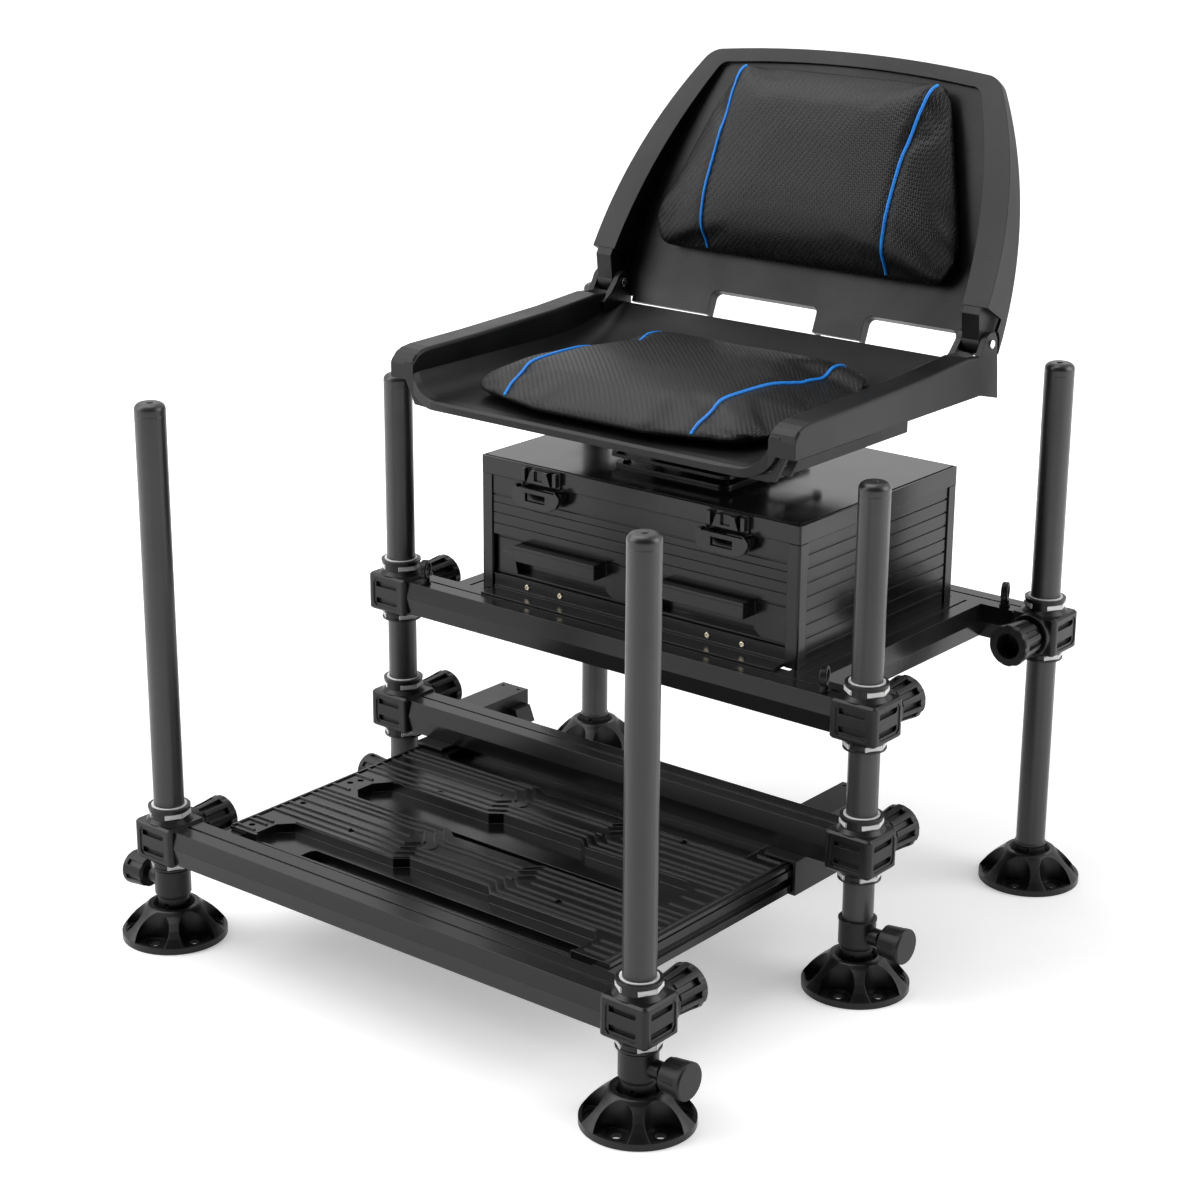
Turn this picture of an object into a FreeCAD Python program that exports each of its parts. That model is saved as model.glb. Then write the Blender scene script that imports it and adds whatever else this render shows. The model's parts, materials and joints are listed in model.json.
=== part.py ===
import FreeCAD, Part
import math
import os

# Fishing seat box: six clamped legs carry a seat frame with a drawer box and a swivel
# seat, and a sliding footplate in front. Millimetres, +Z up, +X towards the left hand of
# someone sitting on it, -Y in front. The origin is on the ground.

V = FreeCAD.Vector

# Legs and their places
TUBE_R = 15.0
TUBE_WALL = 2.0
LEG_X = 294.0
ORIGIN_Y = 5.97
ROW_FOOTPLATE = -332.0
ROW_FRONT = 5.5
ROW_REAR = 332.0
CAP_H = 12.0
LEG_TOP = {
    "footplate_left": 545.0,
    "footplate_right": 534.0,
    "front_left": 511.0,
    "front_right": 503.0,
    "rear_left": 554.0,
    "rear_right": 554.0,
}
LEG_ROW = {"footplate": ROW_FOOTPLATE, "front": ROW_FRONT, "rear": ROW_REAR}

# Feet, ball joints and telescopic sleeves
FOOT_R = 52.0
FOOT_RIM = 6.5
FOOT_HUB_TOP = 34.0
FOOT_LIP_Z = 28.0
BALL_R = 18.0
BALL_Z = 22.0
BALL_GAP = 0.3
STEM_R = 15.4
POCKETS = 6
POCKET_R = 17.3
POCKET_AT = 44.0
FOOT_TURN = {
    "footplate_left": 17.0,
    "footplate_right": 9.0,
    "front_left": 30.0,
    "front_right": 9.0,
    "rear_left": 0.0,
    "rear_right": 9.0,
}
SLEEVE_R = 18.0
SLEEVE_BOTTOM = 46.0
SLEEVE_TOP = 72.0
RUN_GAP = 0.05
SCREW_Z = 57.0
SCREW_START = 30.5

# Clamp blocks, their liners and knobs
BLOCK_HALF = 24.0
BLOCK_OUT = 26.0
BLOCK_H = 40.0
COLLAR_R = 20.0
COLLAR_TOP = 15.0
COLLAR_BOTTOM = 10.0
LINER_R = 17.4
WINDOW_W = 17.0
WINDOW_H = 5.0
WINDOW_TURNS = (-35.0, 59.0, 108.0, 201.0, 249.0)
BOSS_R = 22.0
BOSS_END = 31.0
KNOB_START = 27.0
KNOB_LOBES = 10
STUD_R = 4.0

# Rails
UPPER_Z = 276.0
LOWER_Z = 143.5
BEAM_Z = 104.0
RAIL_H = 34.6
RAIL_TOP_HALF = 17.5
RAIL_MID_HALF = 20.5
RAIL_WALL = 2.0
SIDE_RAIL_X = 212.0

# Footplate
DECK_TOP = 123.0
DECK_HALF = 221.0
RIB_H = 1.4
RIB_W = 2.4
WELL_FLOOR = 112.0
WELL_T = 2.5
DECK_FRONT = -303.0
DECK_REAR = 6.0
SLIDE_RAIL_T = 19.0
SLIDE_RAIL_H = 23.0
SLIDE_RAIL_REAR = 62.0
RUNNER_OUT = 244.5
RUNNER_IN = 208.0
RUNNER_FRONT = -29.0
RUNNER_REAR = 107.0
RUNNER_WALL = 2.5

# Box, lid and drawers
BOX_HALF = 199.4
BOX_FRONT = 27.8
BOX_REAR = 305.8
BOX_WALL = 3.0
LID_TOP = 436.0
LID_BOTTOM = 417.6
BOX_TOP = 417.0
DRAWER_BOTTOM = 312.0
DRAWER_TOP = 354.0
DRAWER_W = 183.0
DRAWER_DEPTH = 230.0
DRAWER_SET_BACK = 6.0
SCOOP_DEEP = 12.0
SCOOP_LOW = 314.5
SCOOP_TOP = 336.0
PULL_HALF = 53.0
PULL_REACH = 20.0
PULL_TOP = 352.0
LATCH_X = 116.7
LATCH_PIVOT_Y = 24.0
LATCH_PIVOT_Z = 412.0

# Seat
SWIVEL_Y = 155.0
SEAT_HALF = 247.0
ARM_W = 30.0
ARM_BOTTOM = 525.6
PAN_T = 11.5
PAN_FRONT = -60.0
PAN_REAR = 279.0
RIB_BOTTOM = 482.0
SWIVEL_HALF = 72.0
SWIVEL_TOP = 450.0
PIN_Y = 277.6
PIN_Z = 574.6
PIN_R = 3.0
EAR_IN = 213.0
EAR_OUT = 247.0
# Slot for the backrest between the ears, as (y, z)
GAP_PROFILE = [(241, 600), (241, 562.5), (262, 560), (291, 551), (300, 551), (300, 600)]
EAR_T = 6.5

# Backrest, drawn flat and then leaned back
LEAN = 29.8
RIM_Y = 252.0
RIM_Z = 586.0
FLOOR_TOP = 4.4
FLOOR_SLOPE = 0.1441
RIM_TOP = 262.0
SHELL_T = 4.0
PANEL_T = 5.0


def box(low, high):
    size = [high[i] - low[i] for i in range(3)]
    return Part.makeBox(size[0], size[1], size[2], V(*low))


def cylinder(radius, length, start, direction=V(0, 0, 1)):
    return Part.makeCylinder(radius, length, V(*start), direction)


def prism(points, step):
    # A closed flat outline pushed along a vector
    wire = Part.makePolygon([V(*p) for p in points] + [V(*points[0])])
    return Part.Face(wire).extrude(V(*step))


def turned(profile, centre):
    # A profile of (radius, height) turned about the upright line through centre
    points = [V(centre[0] + r, centre[1], z) for r, z in profile]
    face = Part.Face(Part.makePolygon(points + [points[0]]))
    solid = face.revolve(V(centre[0], centre[1], 0), V(0, 0, 1), 360)
    return Part.makeSolid(solid) if solid.ShapeType != "Solid" else solid


def mirrored(shape):
    return shape.mirror(V(0, 0, 0), V(1, 0, 0))


def group(shapes):
    return Part.makeCompound(shapes)


def rounded_outline(corners, radii, level, place):
    # Straight sides joined by arcs; corners are (u, v), place turns (u, v, level) into a point
    edges = []
    joints = []
    count = len(corners)
    for i in range(count):
        here = V(corners[i][0], corners[i][1], 0)
        before = V(corners[i - 1][0], corners[i - 1][1], 0)
        after = V(corners[(i + 1) % count][0], corners[(i + 1) % count][1], 0)
        one = (before - here).normalize()
        two = (after - here).normalize()
        half = math.acos(max(-1.0, min(1.0, one.dot(two)))) / 2
        reach = radii[i] / math.tan(half)
        middle = here + (one + two).normalize() * (radii[i] / math.sin(half) - radii[i])
        joints.append((here + one * reach, middle, here + two * reach))
    for i in range(count):
        start, middle, end = [V(*place(p.x, p.y, level)) for p in joints[i]]
        follow = V(*place(joints[(i + 1) % count][0].x, joints[(i + 1) % count][0].y, level))
        edges.append(Part.Arc(start, middle, end).toShape())
        edges.append(Part.LineSegment(end, follow).toShape())
    return Part.Wire(edges)


def scaled(corners, factor, centre):
    return [(centre[0] + (u - centre[0]) * factor, centre[1] + (v - centre[1]) * factor)
            for u, v in corners]


def leg_place(name):
    row, side = name.split("_")
    return (LEG_X if side == "right" else -LEG_X), LEG_ROW[row]


def leg(name):
    # A hollow tube with a rounded plug in its top; a rear leg ends in its own ball stem
    x, y = leg_place(name)
    top = LEG_TOP[name]
    bottom = SLEEVE_BOTTOM + 1.0 if "rear" not in name else SLEEVE_BOTTOM - 4.0
    tube = cylinder(TUBE_R, top - CAP_H - bottom, (x, y, bottom))
    tube = tube.cut(cylinder(TUBE_R - TUBE_WALL, top, (x, y, bottom - 1)))
    plug = cylinder(TUBE_R, CAP_H, (x, y, top - CAP_H))
    rim = [e for e in plug.Edges if abs(e.BoundBox.ZMin - top) < 0.01 and e.Length > 50]
    plug = plug.makeFillet(6.5, rim)
    plug = plug.fuse(cylinder(3.0, 0.8, (x, y, top)))
    plug = plug.fuse(cylinder(TUBE_R - TUBE_WALL, 20, (x, y, top - CAP_H - 20)))
    pieces = [tube, plug.removeSplitter()]
    if "rear" in name:
        stem = ball_stem(x, y, bottom)
        pieces.append(stem.fuse(cylinder(TUBE_R - TUBE_WALL, 22, (x, y, bottom))).removeSplitter())
    return group(pieces)


def ball_stem(x, y, top):
    # The ball that the foot tilts on, its waist with small sight holes, and a collar on top
    ball = Part.makeSphere(BALL_R, V(x, y, BALL_Z))
    neck = cylinder(STEM_R, top - BALL_Z, (x, y, BALL_Z))
    flange = Part.makeCone(STEM_R, TUBE_R + 1.0, 2.5, V(x, y, top - 4.0))
    flange = flange.fuse(cylinder(TUBE_R + 1.0, 1.5, (x, y, top - 1.5)))
    stem = ball.fuse(neck).fuse(flange)
    for i in range(4):
        turn = math.radians(20 + 90 * i)
        way = V(math.cos(turn), math.sin(turn), 0)
        start = V(x, y, 36.0) + way * (STEM_R - 2.5)
        stem = stem.cut(Part.makeCylinder(1.9, 5.0, start, way))
    return stem.removeSplitter()


def foot_sleeve(name):
    # A short tube that slides on the leg, closed below by the ball, with the screw's boss
    x, y = leg_place(name)
    out = 1 if x > 0 else -1
    sleeve = cylinder(SLEEVE_R, SLEEVE_TOP - SLEEVE_BOTTOM, (x, y, SLEEVE_BOTTOM))
    sleeve = sleeve.fuse(cylinder(SLEEVE_R + 0.6, 2.0, (x, y, SLEEVE_TOP - 2.0)))
    sleeve = sleeve.fuse(ball_stem(x, y, SLEEVE_BOTTOM))
    sleeve = sleeve.fuse(cylinder(8.5, SLEEVE_R + 8.5, (x, y, SCREW_Z), V(out, 0, 0)))
    bore = cylinder(TUBE_R + RUN_GAP, SLEEVE_TOP, (x, y, SLEEVE_BOTTOM + 0.5))
    thread = cylinder(STUD_R + RUN_GAP, SLEEVE_R + 20, (x, y, SCREW_Z), V(out, 0, 0))
    return sleeve.cut(bore).cut(thread).removeSplitter()


def fluted_knob(profile, count, low, high, root, rim_cut):
    # A turned knob along +Z with flutes from low to high cut down to the root radius
    knob = turned(profile, (0, 0))
    cutters = []
    for i in range(count):
        flute = prism([(root, -2.6, low), (30, -5.2, low), (30, 5.2, low), (root, 2.6, low)],
                      (0, 0, high - low))
        if rim_cut:
            flute = flute.fuse(cylinder(6.0, 60, (rim_cut, 0, low + 2)))
        flute.rotate(V(0, 0, 0), V(0, 0, 1), 360.0 * i / count)
        cutters.append(flute)
    return knob.cut(group(cutters))


def thumb_screw(name):
    x, y = leg_place(name)
    out = 1 if x > 0 else -1
    profile = [(0, 0), (12.5, 0), (15.6, 2), (17.5, 22), (17.5, 24), (16.3, 25.5), (0, 25.5)]
    knob = fluted_knob(profile, 7, -1.0, 19.5, 15.0, 0)
    knob = knob.fuse(cylinder(STUD_R, SCREW_START - TUBE_R, (0, 0, TUBE_R + 0.3 - SCREW_START)))
    knob.rotate(V(0, 0, 0), V(0, 1, 0), 90 * out)
    knob.translate(V(x + out * SCREW_START, y, SCREW_Z))
    return knob.removeSplitter()


def foot(name):
    # A domed plate with a socket in its hub and six arched pockets, each with a peg hole
    x, y = leg_place(name)
    profile = [(0, 0), (FOOT_R, 0), (FOOT_R, FOOT_RIM), (51.0, FOOT_RIM + 1.5), (46.5, 14.0), (41.0, 20.0),
               (35.0, 25.5), (29.5, 30.0), (26.5, 33.0), (25.0, FOOT_HUB_TOP), (21.0, FOOT_HUB_TOP),
               (17.6, FOOT_LIP_Z), (0, FOOT_LIP_Z)]
    body = turned(profile, (x, y))
    body = body.cut(Part.makeSphere(BALL_R + BALL_GAP, V(x, y, BALL_Z)))
    inside = cylinder(FOOT_R - 3.5, 60, (x, y, -1))
    cutters = []
    for i in range(POCKETS):
        turn = math.radians(30 + 60 * i + FOOT_TURN[name])
        cx = math.cos(turn)
        cy = math.sin(turn)
        arch = (x + POCKET_AT * cx, y + POCKET_AT * cy)
        peg = (x + 38 * cx, y + 38 * cy)
        cutters.append(cylinder(POCKET_R, 40, (arch[0], arch[1], FOOT_RIM)))
        cutters.append(cylinder(POCKET_R, 40, (arch[0], arch[1], FOOT_RIM - 1.0)).common(inside))
        cutters.append(cylinder(9.5, 40, (peg[0], peg[1], FOOT_RIM - 2.2)))
        cutters.append(cylinder(5.0, 40, (peg[0], peg[1], -5)))
    for cutter in cutters:
        body = body.cut(cutter)
    return body.removeSplitter()


CLAMPS = [
    ("front_left_upper", "front_left", UPPER_Z, 1),
    ("front_right_upper", "front_right", UPPER_Z, 1),
    ("rear_left", "rear_left", UPPER_Z, -1),
    ("rear_right", "rear_right", UPPER_Z, -1),
    ("front_left_lower", "front_left", LOWER_Z, 1),
    ("front_right_lower", "front_right", LOWER_Z, 1),
    ("footplate_left", "footplate_left", BEAM_Z, 1),
    ("footplate_right", "footplate_right", BEAM_Z, 1),
]


def collar_boxes(x, y, z, slack, depth):
    # The windows through the collars above and below a clamp block
    half = WINDOW_W / 2 - slack
    boxes = []
    for low in (z + BLOCK_H / 2 + 5.5, z - BLOCK_H / 2 - 8.0):
        for turn in WINDOW_TURNS:
            piece = box((-half, -depth, low + slack), (half, 1.0 - LINER_R, low + WINDOW_H - slack))
            piece.rotate(V(0, 0, 0), V(0, 0, 1), turn)
            piece.translate(V(x, y, 0))
            boxes.append(piece)
    return boxes


def face_cuts(x, y, z, turn, reach):
    # A shallow framed panel with two slots, on the face that looks along -Y before the turn
    panel = prism([(u, -reach - 1, w) for u, w in [(-18, -11), (-14.5, -15), (14.5, -15), (18, -11), (18, 11),
                                                   (14.5, 15), (-14.5, 15), (-18, 11)]], (0, 2.0, 0))
    cuts = [panel]
    for low in (-12.0, 6.0):
        cuts.append(prism([(u, -reach - 1, w) for u, w in [(-15, low), (12, low), (14.5, low + 2), (14.5, low + 6),
                                                           (-15, low + 6)]], (0, 5.5, 0)))
    for piece in cuts:
        piece.rotate(V(0, 0, 0), V(0, 0, 1), turn)
        piece.translate(V(x, y, z))
    return cuts


def clamp_block(leg_name, z, way):
    # A moulded block round the leg with collars above and below and a ringed boss for the knob
    x, y = leg_place(leg_name)
    low = z - BLOCK_H / 2
    high = z + BLOCK_H / 2
    body = box((x - BLOCK_OUT, y - BLOCK_HALF, low), (x + BLOCK_OUT, y + BLOCK_HALF, high))
    body = body.makeFillet(5.0, [e for e in body.Edges if e.BoundBox.ZLength > BLOCK_H - 1])
    body = body.makeChamfer(2.2, [e for e in body.Edges if e.BoundBox.ZLength < 0.1])
    body = body.fuse(cylinder(COLLAR_R, BLOCK_H + COLLAR_TOP + COLLAR_BOTTOM, (x, y, low - COLLAR_BOTTOM)))
    body = body.fuse(Part.makeCone(BLOCK_HALF - 0.5, COLLAR_R, 4.0, V(x, y, high)))
    body = body.fuse(Part.makeCone(COLLAR_R, BLOCK_HALF - 1.5, 3.0, V(x, y, low - 3.0)))
    for ring in (high + COLLAR_TOP - 2.2, low - COLLAR_BOTTOM):
        body = body.fuse(cylinder(COLLAR_R + 0.9, 2.2, (x, y, ring)))
    boss = cylinder(BOSS_R, BOSS_END - 10, (x, y + way * 10, z), V(0, way, 0))
    boss = boss.makeFillet(1.5, [e for e in boss.Edges if abs(abs(e.BoundBox.YMin - y) - BOSS_END) < 0.1
                                 and e.BoundBox.YLength < 0.1])
    body = body.fuse(boss)
    body = body.cut(cylinder(18.3, 20, (x, y + way * (BLOCK_HALF + 2), z), V(0, way, 0)))
    faces = [(0, BLOCK_HALF)] if way > 0 else [(180, BLOCK_HALF)]
    faces.append((90, BLOCK_OUT) if x > 0 else (-90, BLOCK_OUT))
    for turn, reach in faces:
        for piece in face_cuts(x, y, z, turn, reach):
            body = body.cut(piece)
    body = body.cut(cylinder(LINER_R, 200, (x, y, z - 100)))
    for piece in collar_boxes(x, y, z, 0.0, COLLAR_R + 2):
        body = body.cut(piece)
    body = body.cut(cylinder(STUD_R + RUN_GAP, 60, (x, y, z), V(0, way, 0)))
    return max(body.removeSplitter().Solids, key=lambda s: s.Volume)


def clamp_liner(leg_name, z):
    # The pale ring between the block and the leg, with lugs that show in the collar's windows
    x, y = leg_place(leg_name)
    low = z - BLOCK_H / 2 - COLLAR_BOTTOM - 0.8
    high = z + BLOCK_H / 2 + COLLAR_TOP + 0.9
    ring = cylinder(LINER_R, high - low, (x, y, low))
    for piece in collar_boxes(x, y, z, 0.2, COLLAR_R - 0.4):
        ring = ring.fuse(piece)
    return ring.cut(cylinder(TUBE_R + RUN_GAP, high, (x, y, low - 1))).removeSplitter()


def clamp_knob(leg_name, z, way):
    x, y = leg_place(leg_name)
    profile = [(0, 0), (14.5, 0), (15.2, 8.0), (18.6, 9.5), (20.2, 30.0), (21.6, 42.5), (20.6, 44.0),
               (13.2, 44.0), (12.6, 20.0), (0, 20.0)]
    knob = fluted_knob(profile, KNOB_LOBES, 8.5, 36.0, 15.6, 26.4)
    knob = knob.fuse(cylinder(STUD_R, KNOB_START - LINER_R - 0.3, (0, 0, LINER_R + 0.4 - KNOB_START)))
    knob.rotate(V(0, 0, 0), V(1, 0, 0), -90 * way)
    knob.translate(V(x, y + way * KNOB_START, z))
    return knob.removeSplitter()


def rail_section(u, w, half_extra=0.0):
    # Six sided extrusion section with a groove along the middle of its top, as (across, up)
    top = RAIL_H / 2 - half_extra
    flat = RAIL_TOP_HALF - half_extra
    mid = RAIL_MID_HALF - half_extra
    if half_extra:
        return [(u - flat, w - top), (u + flat, w - top), (u + mid, w), (u + flat, w + top),
                (u - flat, w + top), (u - mid, w)]
    return [(u - flat, w - top), (u + flat, w - top), (u + mid, w), (u + flat, w + top),
            (u + 1.5, w + top), (u + 1.5, w + top - 1.5), (u - 1.5, w + top - 1.5),
            (u - 1.5, w + top), (u - flat, w + top), (u - mid, w)]


def cross_rail(y, z, half):
    outer = prism([(-half, u, w) for u, w in rail_section(y, z)], (2 * half, 0, 0))
    inner = prism([(-half - 1, u, w) for u, w in rail_section(y, z, RAIL_WALL + 1.5)], (2 * half + 2, 0, 0))
    return outer.cut(inner)


def side_rails(front, rear):
    start = ROW_FRONT
    end = ROW_REAR
    outer = prism([(u, start, w) for u, w in rail_section(SIDE_RAIL_X, UPPER_Z)], (0, end - start, 0))
    inner = prism([(u, start, w) for u, w in rail_section(SIDE_RAIL_X, UPPER_Z, RAIL_WALL + 1.5)],
                  (0, end - start, 0))
    rail = outer.cut(inner)
    for y in (front, rear):
        block = prism([(0, u, w) for u, w in rail_section(y, UPPER_Z, 0)], (SEAT_HALF + 20, 0, 0))
        rail = rail.cut(block)
        rail = rail.cut(box((0, y - 10, UPPER_Z - 30), (SEAT_HALF, y + 10, UPPER_Z + 30)))
    rail = max(rail.Solids, key=lambda s: s.Volume)
    return group([rail, mirrored(rail)])


def runner_channel():
    # The channel under the cross rail that the footplate's side rail slides in, open inward
    top = LOWER_Z - RAIL_H / 2
    low = DECK_TOP - 6 - SLIDE_RAIL_H - 0.4 - RUNNER_WALL
    outer = box((RUNNER_IN, RUNNER_FRONT, low), (RUNNER_OUT, RUNNER_REAR, top))
    inner = box((RUNNER_IN - 1, RUNNER_FRONT - 1, low + RUNNER_WALL),
                (RUNNER_OUT - 3.2, RUNNER_REAR - 3, DECK_TOP + 0.5))
    return outer.cut(inner)


def runner_bracket():
    # The hollow block that bolts the channel to the back of the cross rail, with a lock lug
    low = LOWER_Z - RAIL_H / 2
    high = low + 29.0
    start = ROW_FRONT + RAIL_MID_HALF + 0.1
    shell = box((RUNNER_IN - 3, start, low), (RUNNER_OUT - 4, RUNNER_REAR, high))
    core = box((RUNNER_IN, start - 1, low + 3), (RUNNER_OUT - 7, RUNNER_REAR - 3, high - 3))
    shell = shell.cut(core)
    for y in (RUNNER_REAR - 8,):
        for x in (RUNNER_IN + 4, RUNNER_OUT - 11):
            shell = shell.cut(cylinder(2.0, 10, (x, y, high - 5)))
    lug = prism([(RUNNER_IN - 21, RUNNER_REAR - 34, low), (RUNNER_IN - 3, RUNNER_REAR - 34, low),
                 (RUNNER_IN - 3, RUNNER_REAR - 34, low + 17), (RUNNER_IN - 14, RUNNER_REAR - 34, low + 17)],
                (0, 24, 0))
    return shell.fuse(lug).removeSplitter()


def slide_rail():
    # The footplate's side rail, with a long groove down its outer face
    high = DECK_TOP - 6
    low = high - SLIDE_RAIL_H
    out = DECK_HALF + SLIDE_RAIL_T
    front = ROW_FOOTPLATE + RAIL_MID_HALF + 0.1
    body = box((DECK_HALF + 0.2, front, low), (out, SLIDE_RAIL_REAR, high))
    body = body.cut(box((out - 5, front - 1, low + 7.5), (out + 1, SLIDE_RAIL_REAR + 1, low + 16)))
    return body.cut(box((DECK_HALF + 3.2, front - 1, low + 3), (out - 8, SLIDE_RAIL_REAR + 1, high - 3)))


# Sunk wells of the footplate, as (x, y) seen from above, from the front one to the rear one
WELLS = [
    [(-206, -272), (-194, -259), (-62, -259), (-50, -248.5), (49, -248.5), (61, -260), (186, -260),
     (197, -272), (197, -300), (-206, -300)],
    [(-206, -136), (-194, -121), (-62, -121), (-50, -112), (49, -112), (62, -121.5), (186, -121.5),
     (197, -136), (197, -183), (-53, -183), (-68, -171.7), (-192, -171.7), (-206, -158)],
    [(-200, 2), (195, 2), (195, -44), (-53, -44), (-68, -36.4), (-190, -36.4), (-200, -28)],
]
# Deeper slots along the front of two wells, as (lowest y, highest y)
SLOTS = [(-300.0, -277.0), (-181.0, -159.0)]
SLOT_X = (-150.0, 188.0)
SLOT_FLOOR = 101.0
# Raised ribs between two wells, as (x, distance behind the middle line)
RIB_MIDDLES = (-216.0, -81.3)
RIB_LINES = [
    [(-236, 40), (-71, 40), (-51, 18.5), (49, 18.5), (62, 32.5), (231, 32.5)],
    [(-236, 31), (-74, 31), (-56, 10), (50, 10), (64, 22), (231, 22)],
    [(-236, 22), (-80, 22), (-64, 4)],
    [(59, 2), (70, 12), (231, 12)],
    [(-236, 6), (-84, 6)],
    [(77, -1.5), (231, -1.5)],
    [(-236, -9), (-78, -9), (-67, 1)],
    [(59, -4), (71, -14.8), (231, -14.8)],
    [(-236, -19.5), (-74, -19.5), (-61, -10.5), (51, -10.5), (66, -24.6), (231, -24.6)],
    [(-236, -30.5), (-70, -30.5), (-54, -19.8), (49, -19.8), (64, -34.8), (231, -34.8)],
    [(-194, -40.6), (-63, -40.6), (-51, -30.2), (49.5, -30.2), (61.5, -41.7), (186, -41.7)],
]
END_RIBS = [(-236, -212, y) for y in (-270.6, -279.4, -296.0, -129.4, -163.0, -9.0, -21.0)]
END_RIBS += [(203, 231, y) for y in (-270.6, -282.5, -294.0, -130.8, -151.7, -171.0, -18.3, -32.8)]
PEG_HOLES = [(-224, -217.5), (-138, -237), (-224, -288), (-221, -138), (-225, -149), (-138, -108.6),
             (128.6, -52), (122, -233.5)]


def strip(points, low, high):
    # A rib of even width along a broken line, mitred at its bends
    sides = ([], [])
    last = len(points) - 1
    for i, point in enumerate(points):
        here = V(point[0], point[1], 0)
        before = here - V(points[max(i - 1, 0)][0], points[max(i - 1, 0)][1], 0)
        after = V(points[min(i + 1, last)][0], points[min(i + 1, last)][1], 0) - here
        one = before.normalize() if i > 0 else after.normalize()
        two = after.normalize() if i < last else one
        normal = V(-one.y - two.y, one.x + two.x, 0).normalize()
        reach = RIB_W / 2 / normal.dot(V(-one.y, one.x, 0))
        sides[0].append((here.x + normal.x * reach, here.y + normal.y * reach, low))
        sides[1].append((here.x - normal.x * reach, here.y - normal.y * reach, low))
    return prism(sides[0] + sides[1][::-1], (0, 0, high - low))


def deck():
    # Moulded plate: a top skin over the side rails, ribs on it, and wells sunk through it
    top = DECK_TOP - RIB_H
    out = DECK_HALF + SLIDE_RAIL_T - 1.5
    pieces = [box((-out, DECK_FRONT, top - 4.0), (out, DECK_REAR, top))]
    skirt = box((-DECK_HALF, DECK_FRONT, WELL_FLOOR - WELL_T), (DECK_HALF, DECK_REAR, top - 4.0))
    pieces.append(skirt.cut(box((-DECK_HALF + 3, DECK_FRONT + 3, 0), (DECK_HALF - 3, DECK_REAR - 3, top))))
    hollows = []
    for corners in WELLS:
        face = Part.Face(Part.makePolygon([V(u, v, 0) for u, v in corners + corners[:1]]))
        shell = face.makeOffset2D(WELL_T).extrude(V(0, 0, top - 1.0 - WELL_FLOOR + WELL_T))
        shell.translate(V(0, 0, WELL_FLOOR - WELL_T))
        hollow = face.extrude(V(0, 0, 40))
        hollow.translate(V(0, 0, WELL_FLOOR))
        pieces.append(shell)
        hollows.append(hollow)
    for middle in RIB_MIDDLES:
        for line in RIB_LINES:
            pieces.append(strip([(x, middle + off) for x, off in line], top - 0.5, DECK_TOP))
        for x in (-53.0, 53.0):
            block = [(-7, 0), (-3.5, 7), (3.5, 7), (7, 0), (3.5, -7), (-3.5, -7)]
            pieces.append(prism([(x + u, middle + v, top - 0.5) for u, v in block], (0, 0, RIB_H)))
    for start, end, y in END_RIBS:
        pieces.append(strip([(start, y), (end, y)], top - 0.5, DECK_TOP))
    for x in (-237.0, 232.5):
        pieces.append(strip([(x, DECK_FRONT + 2), (x, DECK_REAR - 2)], top - 0.5, DECK_TOP))
    body = pieces[0].multiFuse(pieces[1:])
    for hollow in hollows:
        body = body.cut(hollow)
    for low, high in SLOTS:
        body = body.fuse(box((SLOT_X[0] - 2, low - 2, SLOT_FLOOR - 1.5),
                             (SLOT_X[1] + 2, high + 2, WELL_FLOOR - 0.5)))
        slot = box((SLOT_X[0], low, SLOT_FLOOR), (SLOT_X[1], high, WELL_FLOOR + 2))
        body = body.cut(slot.makeFillet(7.0, [e for e in slot.Edges if e.BoundBox.ZLength > 1]))
    body = body.cut(box((-203, DECK_FRONT - 1, WELL_FLOOR + 3), (194, DECK_FRONT + 4, 130)))
    for x, y in PEG_HOLES:
        body = body.cut(cylinder(3.2, 10, (x, y, top - 2.5)))
    return max(body.removeSplitter().Solids, key=lambda s: s.Volume)


def eyelet(x, y, z, way):
    # A strap eye on a short stem, its loop a wide rounded band
    axis = V(1, 0.4, 0).normalize()
    centre = V(x, y, z + way * 15.5)
    band = Part.makeCylinder(10.0, 7.0, centre - axis * 3.5, axis)
    band = band.cut(Part.makeCylinder(6.6, 9.0, centre - axis * 4.5, axis))
    band = band.makeFillet(1.3, [e for e in band.Edges if e.Length > 30])
    stem = cylinder(4.6, 6.5, (x, y, z), V(0, 0, way))
    stem = stem.fuse(cylinder(5.6, 2.0, (x, y, z), V(0, 0, way)))
    return band.fuse(stem).removeSplitter()


def eyelets():
    top = UPPER_Z + RAIL_H / 2
    places = [(x, row - 8.0, top, 1) for row in (ROW_FRONT, ROW_REAR) for x in (-252.0, 252.0)]
    places += [(x, 50.0, UPPER_Z - RAIL_H / 2, -1) for x in (-SIDE_RAIL_X, SIDE_RAIL_X)]
    return group([eyelet(*place) for place in places])


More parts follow.
